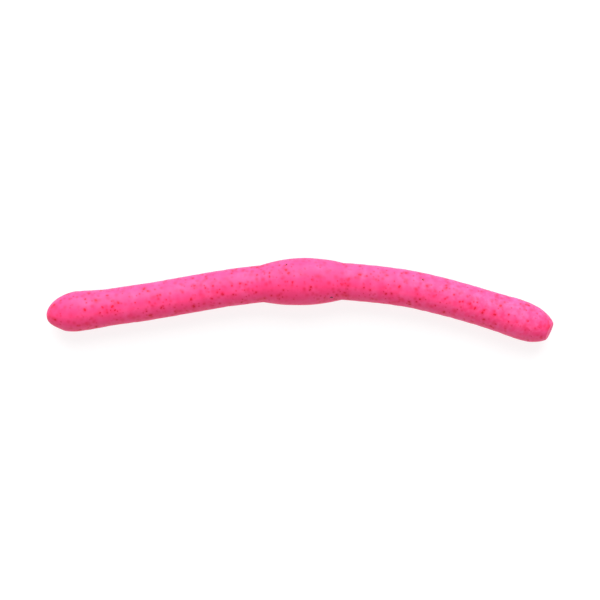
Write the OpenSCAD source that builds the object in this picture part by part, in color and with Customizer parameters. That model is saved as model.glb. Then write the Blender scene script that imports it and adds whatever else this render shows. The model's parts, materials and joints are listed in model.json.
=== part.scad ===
// Soft plastic fishing worm: a plain round body with a thicker smooth band, cast in one pour of pink
// vinyl with loose red flakes in it. It lies along +X on the plane z = 0, tail to the left, in the
// shallow bend it has taken. The origin is under the middle of its bounding box. Millimetres.
//
// The casting bends everywhere. It is divided at every second moulded ring into short sections, and
// each section turns on a ball in the socket of the next, side to side and up and down in turn.

/* [Body] */
// Length along the middle, from the tail tip to the cut face of the head
body_len = 76.1; // [68:0.1:90]
// Diameter of the plain body
body_d = 5.5; // [5:0.01:6]
// Distance from the tail tip to the band
band_at = 32.3; // [28:0.1:38]
// Length of the band
band_len = 12; // [11:0.1:14]
// Diameter at the middle of the band
band_d = 7; // [6.2:0.1:7.4]

/* [Ends] */
// Diameter of the swelling behind the tail tip
tail_d = 5.93; // [5.6:0.01:6.4]
// Length of the rounded tail tip
tail_nose = 4.8; // [3.6:0.05:6]
// Length over which the tail swelling fades into the body
tail_flare = 4.6; // [2:0.1:10]
// Diameter of the swelling behind the head
head_d = 5.78; // [5.6:0.01:6.4]
// Length of the rounded nose that the head's face is cut from
head_nose = 5.3; // [4:0.05:7]
// How much of that nose is cut away
head_cut = 0.6; // [0.2:0.05:1]
// Length over which the head swelling fades into the body
head_flare = 4.1; // [2:0.1:8]
// Slant of the cut face, towards -Y
face_slant = 4; // [0:0.5:12]
// Lean of the cut face, upwards
face_lean = 10; // [0:0.5:12]

/* [Resting bend] */
// Direction in which the tail end sets off, from +X towards +Y
start_heading = 5.7; // [0:0.1:10]
// Length of the bend at the tail
bend_1_len = 23.2; // [20:0.1:26]
// Turn of the bend at the tail
bend_1_turn = 5; // [-10:0.1:10]
// Length of the bend through the band
bend_2_len = 19.5; // [15:0.1:20]
// Turn of the bend through the band
bend_2_turn = -11.7; // [-15:0.1:10]
// Length of the bend behind the head
bend_3_len = 18.5; // [15:0.1:20]
// Turn of the bend behind the head
bend_3_turn = -14.9; // [-20:0.1:10]
// Length of the nod at the head end
nod_len = 13; // [3:0.1:14]
// Turn of the nod at the head end
nod_turn = -5.7; // [-8:0.1:0]
// Length over which the body sags from the band's height to the ends' height
sag_len = 32; // [25:1:34]

/* [Joints] */
// Pitch of the moulded rings
ring_pitch = 1.8; // [1.78:0.01:1.84]
// How far each joint bends, either way
bend_limit = 30; // [10:1:30]
// Diameter of each ball over the body's diameter there
ball_share = 0.945; // [0.9:0.005:0.96]
// Gap between a ball and its socket
ball_gap = 0.1; // [0.05:0.01:0.1]

/* [Flakes] */
// Red flakes in the skin of each section
flake_count = 10; // [1:1:10]
// Half-width of the smallest flake
flake_r_min = 0.1; // [0.08:0.01:0.15]
// Half-width of the largest flake
flake_r_max = 0.28; // [0.2:0.01:0.3]
// Thickness of a flake
flake_t = 0.08; // [0.05:0.01:0.12]
// Gap between a flake and its pocket
flake_gap = 0.02; // [0.01:0.005:0.03]

/* [Hidden] */
$fn = 48;

rings_per_section = 2;
section_len = rings_per_section * ring_pitch;
// The last section is this much longer, so that the socket in it leaves a solid end
last_share = 1.4;
band_end = band_at + band_len;
tail_count = round(band_at / section_len);
band_count = round(band_len / section_len);
head_count = round((body_len - band_end) / section_len - (last_share - 1));
count = tail_count + band_count + head_count;
head_section_len = (body_len - band_end) / (head_count - 1 + last_share);

body_r = body_d / 2;
band_r = band_d / 2;
tail_r = tail_d / 2;
head_r = head_d / 2;
head_tip = body_len + head_cut;
head_nose_at = head_tip - head_nose;
band_mid = band_at + band_len / 2;
band_rise = band_r - body_r;
// Radius of the circular arc that the band bulges in
band_arc_r = (pow(band_len / 2, 2) + pow(band_rise, 2)) / (2 * band_rise);

// Half the angle of the groove over a joint, seen from its pivot: half the bend, and some clearance
clearance_angle = 4;
groove = bend_limit / 2 + clearance_angle;

pink = [0.97, 0.36, 0.62];
red = [0.9, 0.08, 0.3];
dark = [0.35, 0.08, 0.14];

// The dark specks: [section, site], each taking the place of one red flake
dark_sites = [[tail_count + 1, 4], [tail_count + 3, 7], [tail_count + band_count + 3, 4]];

function section_name(i) =
    i <= tail_count ? str("tail_section_", i)
    : i <= tail_count + band_count ? str("band_section_", i - tail_count)
    : str("head_section_", i - tail_count - band_count);
function red_name(i) = str(section_name(i), "_red_flakes");
function dark_name(i) = str(section_name(i), "_dark_flake");

// ---- Outline: radius at a distance s along the middle ----

// 1 at u = 0, falling smoothly to 0 at u = 1
function fade(u) = (1 + cos(180 * u)) / 2;
// A half ellipse, 0 at u = 0 and 1 at u = 1
function round_off(u) = sqrt(max(0, 1 - pow(1 - u, 2)));

function radius(s) =
    s < tail_nose ? tail_r * round_off(s / tail_nose)
    : s < tail_nose + tail_flare ? body_r + (tail_r - body_r) * fade((s - tail_nose) / tail_flare)
    : s < band_at ? body_r
    : s < band_end ? band_r - band_arc_r + sqrt(pow(band_arc_r, 2) - pow(s - band_mid, 2))
    : s < head_nose_at - head_flare ? body_r
    : s < head_nose_at ? body_r + (head_r - body_r) * fade((head_nose_at - s) / head_flare)
    : head_r * round_off((head_tip - s) / head_nose);

// ---- Resting bend: place and heading at a distance s along the middle ----

stretches = [
    [bend_1_len, bend_1_turn],
    [bend_2_len, bend_2_turn],
    [bend_3_len, bend_3_turn],
    [head_tip - bend_1_len - bend_2_len - bend_3_len - nod_len, 0],
    [nod_len, nod_turn]
];

// Step along an arc of the given length that turns steadily from one heading to another
function arc_step(far, from, to) =
    abs(to - from) < 0.001 ? far * [cos(from), sin(from)]
    : far / ((to - from) * PI / 180) * [sin(to) - sin(from), cos(from) - cos(to)];

// [x, y, heading], counted from the tail tip
function walk(s, i = 0, at = [0, 0], heading = start_heading) =
    let (
        last = i == len(stretches) - 1,
        far = last ? s : min(s, stretches[i][0]),
        to = heading + stretches[i][1] * far / stretches[i][0],
        there = at + arc_step(far, heading, to)
    )
    last || s <= stretches[i][0] ? [there.x, there.y, to] : walk(s - far, i + 1, there, to);

function flank(s, side) = let (w = walk(s)) [w.x, w.y] + side * radius(s) * [-sin(w.z), cos(w.z)];
flank_step = 0.3;
flanks = [for (side = [-1, 1], s = [0:flank_step:body_len]) flank(s, side)];
middle = [
    (min([for (p = flanks) p.x]) + max([for (p = flanks) p.x])) / 2,
    (min([for (p = flanks) p.y]) + max([for (p = flanks) p.y])) / 2
];

// Height of the middle: the band and the swelling at each end rest on the ground, and the body sags
// between them as a heavy soft strip does where it comes down to a table
function lift(s) =
    let (end_r = s < band_mid ? tail_r : head_r, u = max(0, 1 - abs(s - band_mid) / sag_len))
    end_r + (band_r - end_r) * pow(u, 3) * (4 - 3 * u);

function place(s) = let (w = walk(s)) [w.x - middle.x, w.y - middle.y, lift(s)];

// ---- Sections ----

// Distance along the middle at which joint k turns: 0 is the tail tip and count is the head's face
function mark(k) =
    k <= tail_count ? band_at * k / tail_count
    : k <= tail_count + band_count ? band_at + band_len * (k - tail_count) / band_count
    : k < count ? band_end + head_section_len * (k - tail_count - band_count)
    : body_len;

function pivot(k) = place(mark(k));
function chord(i) = pivot(i) - pivot(i - 1);
function ball_r(k) = radius(mark(k)) * ball_share;

// Puts a shape drawn up its own z axis along section i, from its rear pivot. Its x axis points down.
module along(i) {
    c = chord(i);
    translate(pivot(i - 1))
        rotate([0, 90 - atan2(c.z, norm([c.x, c.y])), atan2(c.y, c.x)])
            children();
}

function arc(r, at, from, to, steps) =
    [for (j = [0:steps]) let (a = from + (to - from) * j / steps) [r * sin(a), at + r * cos(a)]];

// Where the outer skin of section i starts and ends, along its chord
function skin_from(i) = i == 1 ? 0 : radius(mark(i - 1)) * tan(groove);
function skin_to(i) = i == count ? head_tip - mark(i - 1) : norm(chord(i)) - radius(mark(i)) * tan(groove);

// Sample places along the skin, closer together towards a rounded tip
function skin_places(i) =
    let (steps = 12, a = skin_from(i), b = skin_to(i))
    [for (j = [0:steps]) let (u = j / steps)
        i == 1 ? a + (b - a) * u * u : i == count ? b - (b - a) * (1 - u) * (1 - u) : a + (b - a) * u];

function section_outline(i) =
    let (back = mark(i - 1), long = norm(chord(i)), arc_steps = 9)
    concat(
        i == 1 ? [] : arc(ball_r(i - 1) + ball_gap, 0, 0, 90 - groove, arc_steps),
        [for (z = skin_places(i)) [radius(back + z), z]],
        i == count ? [] : arc(ball_r(i), long, 90 + groove, 0, arc_steps)
    );

module section(i) {
    color(pink)
        along(i)
            difference() {
                rotate_extrude()
                    polygon(section_outline(i));
                if (i == count)
                    head_face_cut();
                for (k = [1:flake_count])
                    flake(i, k, flake_gap);
            }
}

// Everything beyond the head's slanted face. The section's x axis points down and its y axis to +Y.
module head_face_cut() {
    size = 2 * head_d;
    translate([0, 0, body_len - mark(count - 1)])
        rotate([face_slant, -face_lean, 0])
            translate([-size / 2, -size / 2, 0])
                cube(size);
}

// ---- Flakes ----

// Flakes stay out of the strip that the worm lies on, this far either side of straight down
flake_keep_off = 30;
flake_pitch = (360 - 2 * flake_keep_off) / flake_count;
flake_sides = 5;
// How far a flake's face stands out of the skin, and how far its centre keeps from the skin's edges
flake_proud = 0.02;
flake_margin = 0.35;
dark_flake_r = 0.26;

function is_dark(i, k) = len([for (d = dark_sites) if (d[0] == i && d[1] == k) d]) > 0;

// [radius, place along the chord, lean] of a spot on the outer skin, u from 0 to 1 along it
function skin_site(i, u) =
    let (
        from = i == 1 ? tail_nose / 5 : skin_from(i) + flake_margin,
        to = i == count ? body_len - mark(i - 1) - 3 * flake_margin : skin_to(i) - flake_margin,
        z = from + (to - from) * u,
        s = mark(i - 1) + z,
        e = 0.01,
        slope = (radius(s + e) - radius(s - e)) / (2 * e)
    )
    [radius(s), z, 90 + atan(slope)];

// The same for a spot on the ball, in the open groove over the joint
function ball_site(i, u) =
    let (
        r = ball_r(i),
        open = groove - asin(flake_margin / r),
        a = 90 + open * (1 - 2 * u)
    )
    [r * sin(a), norm(chord(i)) + r * cos(a), a];

// Flake k of section i, or with a gap the pocket that it sits in
module flake(i, k, gap) {
    v = rands(0, 1, 5 + flake_sides, 100 * i + k);
    site = i < count && k % 2 == 0 ? ball_site(i, v[0]) : skin_site(i, v[0]);
    size = is_dark(i, k) ? dark_flake_r : flake_r_min + (flake_r_max - flake_r_min) * v[1] * v[1];
    turn = flake_keep_off + flake_pitch * (k - 0.5 + 0.6 * (v[2] - 0.5));
    outline = [for (j = [1:flake_sides])
        let (a = 360 * (j + 0.4 * v[4 + j]) / flake_sides, r = size * (0.7 + 0.3 * v[3 + j]) + 1.5 * gap)
        r * [cos(a), sin(a)]];
    rotate([0, 0, turn])
        translate([site[0], 0, site[1]])
            rotate([0, site[2], 0])
                rotate([0, 0, 360 * v[3]])
                    translate([0, 0, flake_proud - flake_t - gap])
                        linear_extrude(gap > 0 ? flake_t + 3 * flake_margin : flake_t)
                            polygon(outline);
}

module red_flakes(i) {
    color(red)
        along(i)
            for (k = [1:flake_count])
                if (!is_dark(i, k))
                    flake(i, k, 0);
}

module dark_flake(i) {
    color(dark)
        along(i)
            for (k = [1:flake_count])
                if (is_dark(i, k))
                    flake(i, k, 0);
}

for (i = [1:count]) {
    section(i);
    red_flakes(i);
}
for (d = dark_sites)
    dark_flake(d[0]);
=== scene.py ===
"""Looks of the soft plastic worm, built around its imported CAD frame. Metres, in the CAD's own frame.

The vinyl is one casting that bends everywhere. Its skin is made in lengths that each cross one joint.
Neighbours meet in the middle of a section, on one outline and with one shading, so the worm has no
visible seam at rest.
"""

import json
import math

import bpy
import numpy as np
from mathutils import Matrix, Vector

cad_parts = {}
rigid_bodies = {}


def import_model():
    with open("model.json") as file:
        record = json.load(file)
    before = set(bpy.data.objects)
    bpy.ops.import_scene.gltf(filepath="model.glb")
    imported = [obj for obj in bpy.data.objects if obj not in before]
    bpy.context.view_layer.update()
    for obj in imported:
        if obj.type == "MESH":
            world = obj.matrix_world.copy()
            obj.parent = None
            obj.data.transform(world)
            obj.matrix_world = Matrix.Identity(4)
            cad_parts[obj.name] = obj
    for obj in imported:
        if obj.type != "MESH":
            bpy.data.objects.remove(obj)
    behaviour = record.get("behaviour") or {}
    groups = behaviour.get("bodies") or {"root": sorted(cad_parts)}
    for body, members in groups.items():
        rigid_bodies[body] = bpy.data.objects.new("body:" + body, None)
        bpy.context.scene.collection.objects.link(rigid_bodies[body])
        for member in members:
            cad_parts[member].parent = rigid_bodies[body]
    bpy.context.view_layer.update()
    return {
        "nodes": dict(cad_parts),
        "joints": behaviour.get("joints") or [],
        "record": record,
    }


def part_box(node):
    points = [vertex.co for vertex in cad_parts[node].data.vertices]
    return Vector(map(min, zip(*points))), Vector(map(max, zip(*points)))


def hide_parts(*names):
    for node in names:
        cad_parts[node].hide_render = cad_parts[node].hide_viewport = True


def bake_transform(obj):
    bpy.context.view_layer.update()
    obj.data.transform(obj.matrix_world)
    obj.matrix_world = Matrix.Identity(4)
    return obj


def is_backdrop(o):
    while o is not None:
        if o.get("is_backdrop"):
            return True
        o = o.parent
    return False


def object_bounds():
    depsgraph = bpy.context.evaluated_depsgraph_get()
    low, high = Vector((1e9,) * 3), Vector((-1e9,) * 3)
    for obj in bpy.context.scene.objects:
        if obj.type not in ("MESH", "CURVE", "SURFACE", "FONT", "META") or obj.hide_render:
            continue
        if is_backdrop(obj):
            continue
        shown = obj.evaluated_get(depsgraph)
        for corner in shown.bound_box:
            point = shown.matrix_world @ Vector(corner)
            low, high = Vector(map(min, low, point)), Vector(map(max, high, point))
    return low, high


MM = 0.001

# ---- Outline, the same as the CAD model's ----
BODY_R = 2.75 * MM
BAND_R = 3.5 * MM
BAND_AT = 32.3 * MM
BAND_LEN = 12.0 * MM
TAIL_R = 2.965 * MM
TAIL_NOSE = 4.8 * MM
TAIL_FLARE = 4.6 * MM
HEAD_R = 2.89 * MM
HEAD_NOSE = 5.3 * MM
HEAD_CUT = 0.6 * MM
HEAD_FLARE = 4.1 * MM
# The last section is this many times as long as the others of the head
LAST_SHARE = 1.4
RINGS_PER_SECTION = 2

# ---- Detail that the CAD model leaves out ----
# How far the tail's tip sits off the middle, towards -Y
TIP_OFFSET = 0.24 * MM
# How far the -Y flank of the tip is flattened, and over what length
TIP_FLAT = 0.16 * MM
TIP_FLAT_LEN = 2.4 * MM
# Depth of the moulded rings, tail half and head half
RING_DEPTH_TAIL = 0.016 * MM
RING_DEPTH_HEAD = 0.024 * MM
# Share of a groove's depth that the crowns stand out of the plain outline, so that the mean is kept
MEAN_GROOVE = 0.45
# Unevenness of the casting
UNDULATION = 0.022 * MM
# Rounding of the edge round the cut face, and how far the face is hollowed and rippled
RIM = 0.07 * MM
FACE_HOLLOW = 0.05 * MM
FACE_RIPPLE = 0.02 * MM
# Its flattened underside keeps this far above the floor, so that the two don't share a plane
FLOOR_CLEAR = 0.004 * MM

# ---- Flakes ----
FLAKES_PER_LENGTH = 34
# Flakes further inside, which show as soft spots in the skin's colour
DEEP_PER_LENGTH = 90
DEEP_R_MIN = 0.09 * MM
DEEP_R_MAX = 0.36 * MM
DEEP_STRENGTH = 0.95
# Flakes in the skin
FLAKE_R_MIN = 0.08 * MM
FLAKE_R_MAX = 0.27 * MM
DARK_FLAKE_R = 0.22 * MM
FLAKE_PROUD = 0.005 * MM
FLAKE_SUNK = 0.05 * MM
# How many times a place is drawn for each flake wanted, at most
FLAKE_TRIES = 40
# Clear of the ends of a length of skin, clear of each other and clear of the floor
FLAKE_MARGIN = 1.6 * FLAKE_R_MAX
FLAKE_GAP = 1.4 * FLAKE_R_MAX
FLAKE_LOWEST = 0.1 * MM

# ---- Mesh resolution ----
AROUND = 128
ROW_STEP = 0.1 * MM
CAP_RINGS = 3
CAP_DISH = 0.15 * MM
RIM_RINGS = 4
FACE_RINGS = 8

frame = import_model()
rng = np.random.default_rng(7)


# ---- The middle of the worm, through its joints ----


def joint_number(joint):
    return int(joint["name"].rsplit("_", 1)[1])


joints = sorted(frame["joints"], key=joint_number)
pivots = np.array([j["pos_m"] for j in joints])
head_face = next(m for m in frame["record"]["mounts"] if m["name"] == "head_face")
face_middle = np.array(head_face["pos_m"])
face_normal = np.array(head_face["axis"])
# The tail's sections are equally long and its bend is steady, so its tip continues the same arc
tail_tip = 3 * pivots[0] - 3 * pivots[1] + pivots[2]
knots = np.vstack([tail_tip, pivots, face_middle])
marks = np.concatenate([[0], np.cumsum(np.linalg.norm(np.diff(knots, axis=0), axis=1))])
length = marks[-1]
BAND_END = BAND_AT + BAND_LEN
BAND_MIDDLE = BAND_AT + BAND_LEN / 2
HEAD_TIP = length + HEAD_CUT
HEAD_NOSE_AT = HEAD_TIP - HEAD_NOSE


def knot_slopes(s, points):
    """Slopes at the knots of the smoothest curve through the points."""
    n = len(s)
    h = np.diff(s)
    chord = np.diff(points, axis=0) / h[:, None]
    left = np.zeros((n, n))
    right = np.zeros((n, 3))
    left[0, :2] = 2, 1
    right[0] = 3 * chord[0]
    left[-1, -2:] = 1, 2
    right[-1] = 3 * chord[-1]
    for i in range(1, n - 1):
        left[i, i - 1 : i + 2] = h[i], 2 * (h[i - 1] + h[i]), h[i - 1]
        right[i] = 3 * (h[i] * chord[i - 1] + h[i - 1] * chord[i])
    return np.linalg.solve(left, right)


slopes = knot_slopes(marks, knots)


def middle(s):
    """Points on the middle line at distances s from the tail's tip."""
    s = np.asarray(s, float)
    i = np.clip(np.searchsorted(marks, s) - 1, 0, len(marks) - 2)
    h = (marks[i + 1] - marks[i])[..., None]
    u = (s - marks[i])[..., None] / h
    return (
        (2 * u**3 - 3 * u**2 + 1) * knots[i]
        + (u**3 - 2 * u**2 + u) * h * slopes[i]
        + (3 * u**2 - 2 * u**3) * knots[i + 1]
        + (u**3 - u**2) * h * slopes[i + 1]
    )


def unit(v):
    return v / np.linalg.norm(v, axis=-1, keepdims=True)


def directions(s):
    """Along the worm, to its left and up from it, at distances s."""
    e = 0.02 * MM
    along = unit(middle(s + e) - middle(s - e))
    left = unit(np.stack([-along[..., 1], along[..., 0], np.zeros_like(along[..., 0])], -1))
    return along, left, np.cross(along, left)


# ---- The outline and its relief ----


def fade(u):
    return (1 + np.cos(np.pi * np.clip(u, 0, 1))) / 2


def round_off(u):
    return np.sqrt(np.clip(1 - (1 - u) ** 2, 0, 1))


def outline(s):
    """Radius of the plain outline at distances s."""
    rise = BAND_R - BODY_R
    arc_r = ((BAND_LEN / 2) ** 2 + rise**2) / (2 * rise)
    over_band = np.clip(s - BAND_MIDDLE, -BAND_LEN / 2, BAND_LEN / 2)
    return np.select(
        [
            s < TAIL_NOSE,
            s < BAND_AT,
            s < BAND_END,
            s < HEAD_NOSE_AT,
        ],
        [
            TAIL_R * round_off(np.maximum(s, 0) / TAIL_NOSE),
            BODY_R + (TAIL_R - BODY_R) * fade((s - TAIL_NOSE) / TAIL_FLARE),
            BAND_R - arc_r + np.sqrt(arc_r**2 - over_band**2),
            BODY_R + (HEAD_R - BODY_R) * fade((HEAD_NOSE_AT - s) / HEAD_FLARE),
        ],
        HEAD_R * round_off((HEAD_TIP - s) / HEAD_NOSE),
    )


def waves(count, shortest, longest, orders):
    """Seeded waves over the skin: how many per metre, how many around, and where each starts."""
    return [
        (1 / rng.uniform(shortest, longest), rng.integers(-orders, orders + 1), rng.uniform(0, 2 * np.pi))
        for _ in range(count)
    ]


def sum_of(some_waves, s, a):
    """The waves added up, about -1 to 1."""
    phases = [2 * np.pi * per_metre * s + order * a + start for per_metre, order, start in some_waves]
    return sum(np.sin(phase) for phase in phases) / math.sqrt(len(some_waves))


undulation_waves = waves(14, 3 * MM, 14 * MM, 3)
ring_waves = waves(10, 2 * MM, 9 * MM, 2)
# Unevenness of the painted highlight on the crowns of the rings
crown_highlight_waves = waves(12, 1.6 * MM, 6 * MM, 4)

# Rings are counted from the tail's tip. There are two to a section, one of them over the joint.
ring_counts = RINGS_PER_SECTION * np.append(np.arange(len(marks) - 1), len(marks) - 2 + LAST_SHARE)


def ring_depth(s):
    """The band is smooth, and the rings fade out towards both tips."""
    ramp = 2.5 * MM
    places = [
        0.3 * TAIL_NOSE,
        TAIL_NOSE + ramp,
        BAND_AT - ramp,
        BAND_AT,
        BAND_END,
        BAND_END + ramp,
        HEAD_NOSE_AT + ramp,
        length - 0.5 * MM,
    ]
    tail_depths = [0, RING_DEPTH_TAIL, RING_DEPTH_TAIL, 0]
    head_depths = [0, RING_DEPTH_HEAD, RING_DEPTH_HEAD, 0.3 * RING_DEPTH_HEAD]
    return np.interp(s, places, tail_depths + head_depths)


def ring_groove(s):
    """1 in the groove between two rings and 0 on the crown of each."""
    return (0.5 + 0.5 * np.cos(2 * np.pi * np.interp(s, marks, ring_counts))) ** 1.6


def relief(s, a):
    uneven = 1 + 0.45 * sum_of(ring_waves, s, a)
    rings = ring_depth(s) * (MEAN_GROOVE - ring_groove(s)) * np.clip(uneven, 0.1, 2)
    fading = np.clip(s / TAIL_NOSE, 0, 1)
    over_flat = np.clip(s / TIP_FLAT_LEN, 0, 1)
    flat = TIP_FLAT * 4 * over_flat * (1 - over_flat) * np.clip(-np.cos(a), 0, 1) ** 2
    return UNDULATION * fading * sum_of(undulation_waves, s, a) + rings - flat


def crown_highlight(s, a):
    """How much a spot is painted lighter, as a highlight where the crown of a ring would catch the light.
    Most on the head half.
    """
    crown = (1 - ring_groove(s)) * ring_depth(s) / RING_DEPTH_HEAD
    return crown * np.clip(0.75 + 0.6 * sum_of(crown_highlight_waves, s, a), 0, 1.6)


def skin(s, a, proud=0.0):
    """Points on the skin at distances s along it and angles a round it, from its left over its top."""
    s, a = np.broadcast_arrays(np.asarray(s, float), np.asarray(a, float))
    _, left, up = directions(s)
    out = np.cos(a)[..., None] * left + np.sin(a)[..., None] * up
    off = TIP_OFFSET * np.clip(1 - s / TAIL_NOSE, 0, 1) ** 1.5
    point = middle(s) - off[..., None] * left + (outline(s) + relief(s, a) + proud)[..., None] * out
    # It's soft, so it flattens a little where it lies
    point[..., 2] = np.maximum(point[..., 2], FLOOR_CLEAR)
    return point


def tip_places(step):
    """Distances along the rounded tail tip, evenly spaced over its surface."""
    steps = round(1.3 * TAIL_NOSE / step)
    angle = np.linspace(0, np.pi / 2, steps + 1)[1:]
    return TAIL_NOSE * (1 - np.cos(angle))


# ---- Lengths that each cross one joint ----


class Span:
    """The stretch of worm from the middle of one section to the middle of the next."""

    def __init__(self, number):
        joint = joints[number - 1]
        # A joint's parent is on the side of the root, so towards the tail it's the further one
        order = [joint["parent"], joint["child"]]
        self.number = number
        self.first = number == 1
        self.last = number == len(joints)
        self.bodies = order if order[0] == section_names[number - 1] else order[::-1]
        self.bend_from = (marks[number - 1] + marks[number]) / 2
        self.bend_to = (marks[number] + marks[number + 1]) / 2
        self.start = 0 if self.first else self.bend_from
        self.end = length if self.last else self.bend_to
        self.sections = section_names[number - 1 :] if self.last else [section_names[number - 1]]

    def blend(self, piece):
        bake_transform(piece)


def section_order():
    """The sections' names from the tail to the head, from which joint joins which."""
    names = []
    for here, after in zip(joints, joints[1:]):
        pair, following = {here["parent"], here["child"]}, {after["parent"], after["child"]}
        names.append((pair - following).pop())
    shared = pair & following
    return names + [shared.pop(), (following - pair).pop()]


section_names = section_order()
spans = [Span(number) for number in range(1, len(joints) + 1)]


# ---- Where the flakes are ----


def clear_of(taken, point, gap):
    return all(np.linalg.norm(point - other) > gap for other in taken)


dark_nodes = sorted(n for n in frame["nodes"] if n.endswith("_dark_flake"))
dark_places = []
for node_name in dark_nodes:
    low, high = (np.array(corner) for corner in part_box(node_name))
    target = (low + high) / 2
    samples = np.linspace(0, length, 4000)
    nearest = samples[np.argmin(np.linalg.norm(middle(samples) - target, axis=1))]
    _, left, up = directions(nearest)
    away = target - middle(nearest)
    dark_places.append((node_name, nearest, math.atan2(away @ up, away @ left)))

red_places, deep_places = {}, []
taken = [skin(s, a) for _, s, a in dark_places]
for span in spans:
    start = 0.25 * TAIL_NOSE if span.first else span.start + FLAKE_MARGIN
    end = length - 3 * FLAKE_MARGIN if span.last else span.end - FLAKE_MARGIN
    share = (end - start + 2 * FLAKE_MARGIN) / (spans[1].end - spans[1].start)
    wanted = round(FLAKES_PER_LENGTH * share)
    red_places[span.number] = places = []
    for _ in range(FLAKE_TRIES * wanted):
        s, a = rng.uniform(start, end), rng.uniform(0, 2 * np.pi)
        size = FLAKE_R_MIN + (FLAKE_R_MAX - FLAKE_R_MIN) * rng.uniform() ** 2.5
        point = skin(s, a)
        if point[2] < FLAKE_LOWEST or not clear_of(taken, point, FLAKE_GAP):
            continue
        taken.append(point)
        places.append((s, a, size, rng.uniform() ** 0.8))
        if len(places) == wanted:
            break
    for _ in range(round(DEEP_PER_LENGTH * share)):
        depth = rng.uniform()
        size = (DEEP_R_MIN + (DEEP_R_MAX - DEEP_R_MIN) * depth) * rng.uniform(0.8, 1.2)
        strength = (1 - 0.6 * depth) * rng.uniform(0.25, 1.0)
        deep_places.append((rng.uniform(span.start, span.end), rng.uniform(0, 2 * np.pi), size, strength))

# The vinyl round a flake in the skin is tinged by it, and one further inside shows wider and fainter
tinges = np.array(
    [
        (s, a, 1.5 * size, 0.35 + 0.3 * strength)
        for places in red_places.values()
        for s, a, size, strength in places
    ]
    + deep_places
)


def redness(s, a):
    """How much of the colour comes from flakes below the skin, on a grid of places by angles."""
    reach = 3 * DEEP_R_MAX
    near = tinges[(tinges[:, 0] > s.min() - reach) & (tinges[:, 0] < s.max() + reach)]
    clear = np.ones(np.broadcast_shapes(s.shape, a.shape))
    for flake_s, flake_a, size, strength in near:
        turn = (a - flake_a + np.pi) % (2 * np.pi) - np.pi
        across = np.sin(turn / 2) * 2 * outline(np.array(flake_s))
        clear *= 1 - strength * np.exp(-(((s - flake_s) ** 2 + across**2) / size**2) ** 1.4)
    return np.clip(DEEP_STRENGTH * (1 - clear), 0, 1)


# ---- Meshes ----

angles = np.linspace(0, 2 * np.pi, AROUND, endpoint=False)


def even_places(start, end):
    return np.linspace(start, end, round((end - start) / ROW_STEP) + 1)


def cap(ring, out):
    """Rings that close a length of skin inside the worm, dished inwards, and their middle point."""
    centre = ring.mean(axis=0)
    shares = np.linspace(1, 0, CAP_RINGS + 1)[1:]
    rings = [centre + (ring - centre) * f - out * CAP_DISH * (1 - f**2) for f in shares[:-1]]
    return rings, centre - out * CAP_DISH


def swept_mesh(name, rows, crown_highlights, reds, places, first, last, ghost_first, ghost_last, face_rows):
    """A closed mesh with the given rings of points, shaded from the skin that carries on beyond them.

    first and last are (rings, middle point) that close it. The ghosts are the next rings of the skin.
    """
    full = np.concatenate([[ghost_first], rows, [ghost_last]])
    round_it = np.roll(rows, -1, axis=1) - np.roll(rows, 1, axis=1)
    row_normals = unit(np.cross(round_it, full[2:] - full[:-2]))
    rings = [*first[0][::-1], *rows, *last[0]]
    count = len(rings)
    points = np.concatenate([[first[1]], np.concatenate(rings), [last[1]]])
    end_vertex = len(points) - 1
    skin_from = len(first[0])
    skin_to = skin_from + len(rows) - 1

    def at(i, j):
        return 1 + i * AROUND + j % AROUND

    faces = [(0, at(0, j + 1), at(0, j)) for j in range(AROUND)]
    for i in range(count - 1):
        faces += [(at(i, j), at(i, j + 1), at(i + 1, j + 1), at(i + 1, j)) for j in range(AROUND)]
    faces += [(end_vertex, at(count - 1, j), at(count - 1, j + 1)) for j in range(AROUND)]

    mesh = bpy.data.meshes.new(name)
    mesh.from_pydata([tuple(p) for p in points], [], faces)
    mesh.update()
    mesh.shade_smooth()

    # One normal for each corner: the skin's own on the skin, and straight out on the caps
    vertex_normals = np.zeros_like(points)
    on_skin = slice(at(skin_from, 0), at(skin_to, 0) + AROUND)
    vertex_normals[on_skin] = row_normals.reshape(-1, 3)
    start_out = -directions(places[0])[0]
    end_out = directions(places[-1])[0] if last[0] else face_normal
    vertex_normals[0] = start_out if first[0] else unit(points[0] - rows[0].mean(axis=0))
    vertex_normals[end_vertex] = end_out
    corner_normals = []
    for number, face in enumerate(faces):
        ring = (number - AROUND) // AROUND
        if first[0] and ring < skin_from:
            corner_normals += [start_out] * len(face)
        elif last[0] and ring >= skin_to:
            corner_normals += [end_out] * len(face)
        else:
            corner_normals += [vertex_normals[v] for v in face]
    mesh.normals_split_custom_set([tuple(n) for n in corner_normals])

    # Kept on each point: the painted highlight on the ring crowns, the redness from the flakes and the
    # distance along
    for attribute, row_values in (
        ("crown_highlight", crown_highlights),
        ("redness", reds),
        ("along_mm", np.repeat(places[:, None] / MM, AROUND, axis=1)),
    ):
        values = np.zeros(len(points), np.float32)
        values[on_skin] = row_values.ravel()
        mesh.attributes.new(attribute, "FLOAT", "POINT").data.foreach_set("value", values)
    add_rest(mesh, points)

    if face_rows:
        cut = np.zeros(len(faces), int)
        cut[AROUND * (skin_to - face_rows + 1) :] = 1
        mesh.polygons.foreach_set("material_index", cut)
    return mesh


def add_rest(mesh, points):
    """Keeps each point's resting place, in mm, so that patterns stay on the skin as it bends."""
    rest = mesh.attributes.new("rest_mm", "FLOAT_VECTOR", "POINT")
    rest.data.foreach_set("vector", (np.asarray(points) / MM).astype(np.float32).ravel())


def add_piece(name, mesh, materials):
    piece = bpy.data.objects.new(name, mesh)
    bpy.context.scene.collection.objects.link(piece)
    for material in materials:
        mesh.materials.append(material)
    return piece


# ---- Materials ----


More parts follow.
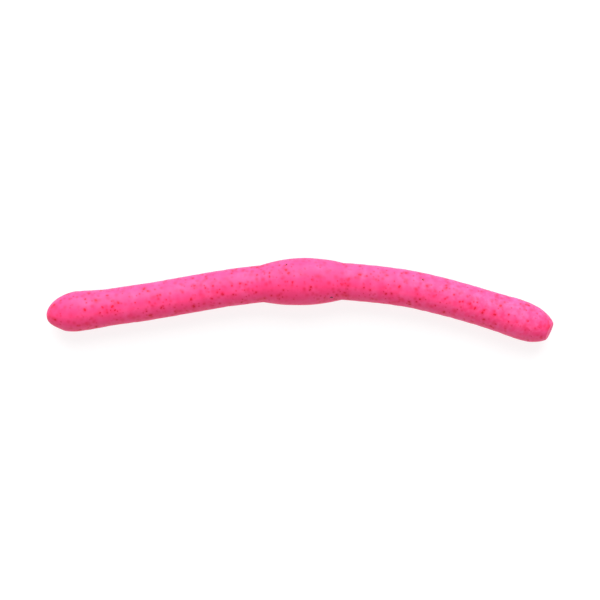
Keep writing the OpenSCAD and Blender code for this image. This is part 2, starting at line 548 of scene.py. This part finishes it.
class Nodes:
    """Adds nodes to a new material and links them."""

    def __init__(self, name):
        self.material = bpy.data.materials.new(name)
        self.material.use_nodes = True
        self.tree = self.material.node_tree
        self.shader = self.tree.nodes["Principled BSDF"]

    def add(self, kind, inputs=(), **settings):
        node = self.tree.nodes.new("ShaderNode" + kind)
        for key, value in settings.items():
            setattr(node, key, value)
        for key, value in dict(inputs).items():
            self.put(node.inputs[key], value)
        return node

    def put(self, socket, value):
        if isinstance(value, bpy.types.NodeSocket):
            self.tree.links.new(value, socket)
        else:
            socket.default_value = value

    def attribute(self, name, output="Fac"):
        return self.add("Attribute", attribute_name=name).outputs[output]

    def math(self, operation, a, b=0.0):
        return self.add("Math", {0: a, 1: b}, operation=operation).outputs[0]

    def smooth(self, value, low, high, to=1.0):
        inputs = {"Value": value, "From Min": low, "From Max": high, "To Max": to}
        return self.add("MapRange", inputs, interpolation_type="SMOOTHSTEP").outputs[0]

    def mix(self, share, a, b):
        node = self.add("Mix", data_type="RGBA")
        for socket, value in zip((node.inputs[0], node.inputs[6], node.inputs[7]), (share, a, b)):
            self.put(socket, value)
        return node.outputs[2]

    def noise(self, place, scale, detail=2.0):
        return self.add("TexNoise", {"Vector": place, "Scale": scale, "Detail": detail}).outputs["Fac"]

    def bump(self, height, metres, under=None):
        inputs = {"Height": height, "Distance": metres, "Strength": 1.0}
        if under is not None:
            inputs["Normal"] = under
        return self.add("Bump", inputs).outputs[0]

    def finish(self, colour, roughness, normal, **sockets):
        self.put(self.shader.inputs["Base Color"], colour)
        self.put(self.shader.inputs["Roughness"], roughness)
        self.put(self.shader.inputs["Normal"], normal)
        for name, value in sockets.items():
            self.shader.inputs[name.replace("_", " ")].default_value = value
        return self.material


PINK = (0.93, 0.045, 0.19, 1)
LIGHT_PINK = (0.95, 0.1, 0.3, 1)
PALE_PINK = (0.94, 0.11, 0.32, 1)
DEEP_PINK = (0.9, 0.028, 0.14, 1)
FLECK_RED = (0.78, 0.008, 0.05, 1)
FLAKE_RED = (0.7, 0.007, 0.04, 1)
FLAKE_PINK = (0.82, 0.015, 0.08, 1)
DARK_RED = (0.05, 0.014, 0.02, 1)
DARK_EDGE = (0.16, 0.016, 0.035, 1)


def vinyl(cut=False):
    """Soft satin vinyl, mottled, with painted highlights on the crowns of its rings and flecks that show
    dimly from inside it. The cut face is duller.
    """
    m = Nodes("cut_vinyl" if cut else "pink_vinyl")
    rest = m.attribute("rest_mm", "Vector")
    wobble = m.add("TexNoise", {"Vector": rest, "Scale": 1.3, "Detail": 2.0}).outputs["Color"]
    warp = {0: wobble, 1: (0.5, 0.5, 0.5), 2: rest}
    warped = m.add("VectorMath", warp, operation="MULTIPLY_ADD").outputs[0]

    colour = m.mix(m.smooth(m.noise(rest, 0.45, 3.0), 0.42, 0.72, 0.35), PINK, LIGHT_PINK)
    # Painted highlight: the crowns of the rings are lightened as if they caught the light
    colour = m.mix(m.math("MULTIPLY", m.attribute("crown_highlight"), 0.32), colour, LIGHT_PINK)
    along = m.attribute("along_mm")
    head_half = m.smooth(along, (BAND_END + 2 * MM) / MM, (HEAD_NOSE_AT - 6 * MM) / MM)
    pale_spots = m.smooth(m.noise(warped, 1.4, 2.0), 0.44, 0.66, 0.4)
    colour = m.mix(m.math("MULTIPLY", head_half, pale_spots), colour, PALE_PINK)
    colour = m.mix(m.smooth(m.noise(warped, 1.1, 3.0), 0.5, 0.75, 0.45), colour, DEEP_PINK)
    colour = m.mix(m.attribute("redness"), colour, FLECK_RED)
    if cut:
        colour = m.mix(0.35, colour, LIGHT_PINK)

    fine_lines = m.math("SINE", m.math("MULTIPLY", along, 2 * math.pi / 0.4))
    line_strength = m.smooth(m.noise(rest, 0.5), 0.4, 0.65)
    lines = m.bump(m.math("MULTIPLY", fine_lines, line_strength), 0.0022 * MM)
    grain = m.bump(m.noise(rest, 7.0 if cut else 3.0, 3.0), (0.03 if cut else 0.008) * MM, lines)
    roughness = m.smooth(m.noise(rest, 1.2, 2.0), 0.3, 0.7, 0.12)
    roughness = m.math("ADD", roughness, 0.55 if cut else 0.42)
    return m.finish(colour, roughness, grain, Specular_IOR_Level=0.2)


def flake(name, deep, shallow):
    """A flake under a thin film of vinyl. Each has its own depth, so its own strength of colour."""
    m = Nodes(name)
    rest = m.attribute("rest_mm", "Vector")
    patchy = m.smooth(m.noise(rest, 5.0), 0.35, 0.65, 0.35)
    share = m.math("ADD", m.attribute("shallowness"), patchy)
    colour = m.mix(m.smooth(share, 0.0, 1.2), deep, shallow)
    film = m.bump(m.noise(rest, 9.0), 0.006 * MM)
    roughness = m.math("ADD", m.smooth(m.noise(rest, 2.0), 0.3, 0.7, 0.1), 0.4)
    return m.finish(colour, roughness, film, Specular_IOR_Level=0.17)


pink_vinyl = vinyl()
cut_vinyl = vinyl(cut=True)
red_flake = flake("red_flake", FLAKE_PINK, FLAKE_RED)
dark_flake = flake("dark_flake", DARK_EDGE, DARK_RED)


# ---- The skin ----


def cut_places(a):
    """How far along the worm the slanted face cuts the skin, at angles a."""
    s = np.full_like(a, length)
    along = directions(s)[0]
    for _ in range(30):
        s = s - ((skin(s, a) - face_middle) @ face_normal) / (along @ face_normal)
    return s


def head_rows(start):
    """Rings from the start of the last length, over the rounded rim and across the cut face."""
    cut = cut_places(angles)
    steps = round((length - start) / ROW_STEP)
    share = np.linspace(0, 1, steps + 1)[:, None]
    places = start + (cut - RIM - start) * share
    side = skin(places, angles)
    rim_end = skin(cut, angles)
    inward = unit(face_middle - rim_end)
    rim = []
    for angle in np.linspace(0, math.pi / 2, RIM_RINGS + 1)[1:]:
        turned = rim_end + inward * RIM * (1 - math.cos(angle))
        rim.append(turned - (rim_end - side[-1]) * (1 - math.sin(angle)))
    reach = face_middle - rim[-1]
    face = []
    for share in np.linspace(0, 1, FACE_RINGS + 2)[1:-1]:
        hollow = FACE_HOLLOW * share * (2 - share)
        ripple = FACE_RIPPLE * np.sin(5 * angles + 6 * share) * share * (1 - share)
        face.append(rim[-1] + reach * share - (hollow + ripple)[:, None] * face_normal)
    rows = np.concatenate([side, rim, face])
    mean_places = np.concatenate([places.mean(axis=1), np.full(len(rows) - len(side), length)])
    return rows, mean_places, len(side), len(face)


for span in spans:
    if span.first:
        tip = tip_places(ROW_STEP)
        places = np.concatenate([tip, even_places(TAIL_NOSE, span.end)[1:]])
    else:
        places = even_places(span.start, span.end)
    face_rows = 0
    if span.last:
        rows, places, side_rows, face_rows = head_rows(span.start)
    else:
        rows = skin(places[:, None], angles)
        side_rows = len(rows)
    crown_highlights, reds = np.zeros(rows.shape[:2]), np.zeros(rows.shape[:2])
    # Painted highlight on the crowns of the rings
    crown_highlights[:side_rows] = crown_highlight(places[:side_rows, None], angles)
    reds[:side_rows] = redness(places[:side_rows, None], angles)

    along_start, along_end = directions(places[0])[0], directions(places[-1])[0]
    if span.first:
        apex = skin(0.0, 0.0)
        first, ghost_first = ([], apex), np.repeat([apex], AROUND, axis=0)
    else:
        first, ghost_first = cap(rows[0], -along_start), skin(places[0] - ROW_STEP, angles)
    if span.last:
        dish = face_middle - FACE_HOLLOW * face_normal
        last, ghost_last = ([], dish), np.repeat([dish], AROUND, axis=0)
    else:
        last, ghost_last = cap(rows[-1], along_end), skin(places[-1] + ROW_STEP, angles)
    name = f"vinyl_{span.number}"
    mesh = swept_mesh(name, rows, crown_highlights, reds, places, first, last, ghost_first, ghost_last, face_rows)
    piece = add_piece(name, mesh, [pink_vinyl, cut_vinyl] if span.last else [pink_vinyl])
    span.blend(piece)
    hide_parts(*span.sections)


# ---- Flakes in the skin ----


def flake_outline(size, stretch, lean, corners):
    """An irregular flat outline, longer one way, as (along, across) from its middle."""
    turn = 2 * np.pi * (np.arange(corners) + rng.uniform(-0.25, 0.25, corners)) / corners
    radii = size * rng.uniform(0.65, 1.0, corners)
    x, y = radii * np.cos(turn) * stretch, radii * np.sin(turn) / stretch
    return x * math.cos(lean) - y * math.sin(lean), x * math.sin(lean) + y * math.cos(lean)


def flake_solid(s, a, along, across):
    """Points and faces of a thin flake, laid on the skin at (s, a) and sunk into it."""
    around = a + across / outline(s)
    corners = len(along)
    top = skin(s + along, around, FLAKE_PROUD)
    bottom = skin(s + 0.9 * along, a + 0.9 * across / outline(s), -FLAKE_SUNK)
    points = [*top, *bottom, skin(s, a, 1.6 * FLAKE_PROUD), skin(s, a, -FLAKE_SUNK)]
    top_middle, bottom_middle = 2 * corners, 2 * corners + 1
    faces = []
    for j in range(corners):
        k = (j + 1) % corners
        faces.append((top_middle, k, j))
        faces.append((bottom_middle, corners + j, corners + k))
        faces.append((j, k, corners + k, corners + j))
    return points, faces


def flakes_mesh(name, flakes):
    points, faces, shallowness = [], [], []
    for flake_points, flake_faces, depth in flakes:
        faces += [tuple(len(points) + v for v in face) for face in flake_faces]
        points += flake_points
        shallowness += [depth] * len(flake_points)
    mesh = bpy.data.meshes.new(name)
    mesh.from_pydata([tuple(p) for p in points], [], faces)
    mesh.update()
    values = np.array(shallowness, np.float32)
    mesh.attributes.new("shallowness", "FLOAT", "POINT").data.foreach_set("value", values)
    add_rest(mesh, points)
    return mesh


for span in spans:
    flakes = []
    for s, a, size, strength in red_places[span.number]:
        along, across = flake_outline(size, rng.uniform(1.0, 1.35), rng.uniform(0, np.pi), rng.integers(6, 9))
        flakes.append((*flake_solid(s, a, along, across), strength))
    name = f"red_flakes_{span.number}"
    piece = add_piece(name, flakes_mesh(name, flakes), [red_flake])
    span.blend(piece)
    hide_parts(*(section + "_red_flakes" for section in span.sections))

for number, (node_name, s, a) in enumerate(dark_places, 1):
    span = next(p for p in spans if p.start <= s < p.end)
    along, across = flake_outline(DARK_FLAKE_R, 1.25, rng.uniform(0, np.pi), 7)
    name = f"dark_flake_{number}"
    mesh = flakes_mesh(name, [(*flake_solid(s, a, along, across), 1.0)])
    piece = add_piece(name, mesh, [dark_flake])
    span.blend(piece)
    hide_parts(node_name)


# ---- Floor, light and camera ----

scene = bpy.context.scene
scene.view_settings.view_transform = "Standard"
scene.view_settings.look = "None"

FLOOR_SIZE = 1.6
SKY = 0.45
# The floor is grey paper that glows, so that it shows white but the worm's shadow on it stays faint
PAPER_DARK = (0.22, 0.22, 0.22, 1)
PAPER_LIGHT = (0.24, 0.24, 0.24, 1)
FLOOR_GLOW = 0.8
SOFTBOX = {"power": 9.0, "size": 0.8, "away": 0.62, "height": 36}
FILL = {"power": 0.4, "size": 0.7, "away": 0.7, "height": 60}
CAMERA_UP = 1.0
VIEW_WIDTH = 89.0 * MM
SENSOR = 36.0

floor_mesh = bpy.data.meshes.new("floor")
half = FLOOR_SIZE / 2
floor_corners = [(-half, -half, 0), (half, -half, 0), (half, half, 0), (-half, half, 0)]
floor_mesh.from_pydata(floor_corners, [], [(0, 1, 2, 3)])
floor = bpy.data.objects.new("floor", floor_mesh)
scene.collection.objects.link(floor)
paper = Nodes("floor_paper")
paper_place = paper.add("TexCoord").outputs["Object"]
paper_grey = paper.mix(paper.noise(paper_place, 60.0), PAPER_DARK, PAPER_LIGHT)
paper_bump = paper.bump(paper.noise(paper_place, 900.0), 0.01 * MM)
paper_finish = {"Emission_Color": (1, 1, 1, 1), "Emission_Strength": FLOOR_GLOW}
floor_mesh.materials.append(paper.finish(paper_grey, 0.9, paper_bump, **paper_finish))
floor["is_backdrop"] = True

world = bpy.data.worlds.new("studio")
world.use_nodes = True
world.node_tree.nodes["Background"].inputs["Strength"].default_value = SKY
world.node_tree.nodes["Background"].inputs["Color"].default_value = (1, 1, 1, 1)
scene.world = world


def softbox(name, power, size, away, height, side):
    """A square soft light, away in metres and height in degrees. side is -1 to stand on the -Y side."""
    light = bpy.data.lights.new(name, "AREA")
    light.energy = power
    light.size = size
    lamp = bpy.data.objects.new(name, light)
    up = math.radians(height)
    lamp.location = (0.0, side * away * math.cos(up), away * math.sin(up))
    lamp.rotation_euler = (-lamp.location).to_track_quat("-Z", "Y").to_euler()
    scene.collection.objects.link(lamp)


softbox("key_light", side=1, **SOFTBOX)
softbox("fill_light", side=-1, **FILL)

low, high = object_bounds()
camera_data = bpy.data.cameras.new("camera")
camera_data.sensor_width = SENSOR
camera_data.lens = SENSOR * CAMERA_UP / VIEW_WIDTH
camera_data.clip_end = 10
camera = bpy.data.objects.new("camera", camera_data)
view_middle = Vector(((low.x + high.x) / 2, (low.y + high.y) / 2 - 0.01 * MM, (low.z + high.z) / 2))
camera.location = view_middle + Vector((0, 0, CAMERA_UP))
scene.collection.objects.link(camera)
scene.camera = camera
